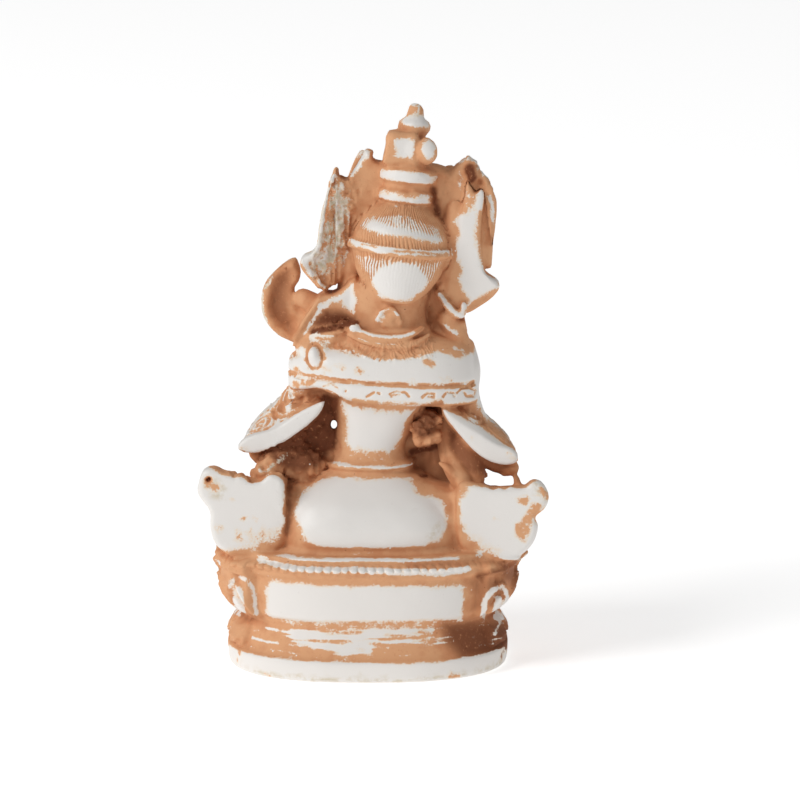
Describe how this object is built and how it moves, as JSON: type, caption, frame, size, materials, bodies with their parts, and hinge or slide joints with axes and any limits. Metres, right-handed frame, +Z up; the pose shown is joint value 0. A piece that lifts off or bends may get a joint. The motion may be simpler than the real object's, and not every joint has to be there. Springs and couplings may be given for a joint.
{
  "type": "seated goddess figure",
  "caption": "Small cast resin ornament: a cross-legged goddess with a lute, a tall leafed crown and a shoulder cape, seated on an oval lotus plinth with a flat underside.",
  "frame": {"origin": "middle of the plinth's flat underside", "axes": "+Z up; the figure faces -Y; her left hand is on +X. The picture looks along -Y at her back."},
  "size_m": [0.0482, 0.0303, 0.0774],
  "materials": {
    "washed_resin": "off-white cast resin, satin where wiped, with an ochre-brown wash left in the recesses"
  },
  "bodies": {
    "root": {"goddess_figure": "washed_resin"}
  },
  "joints": []
}
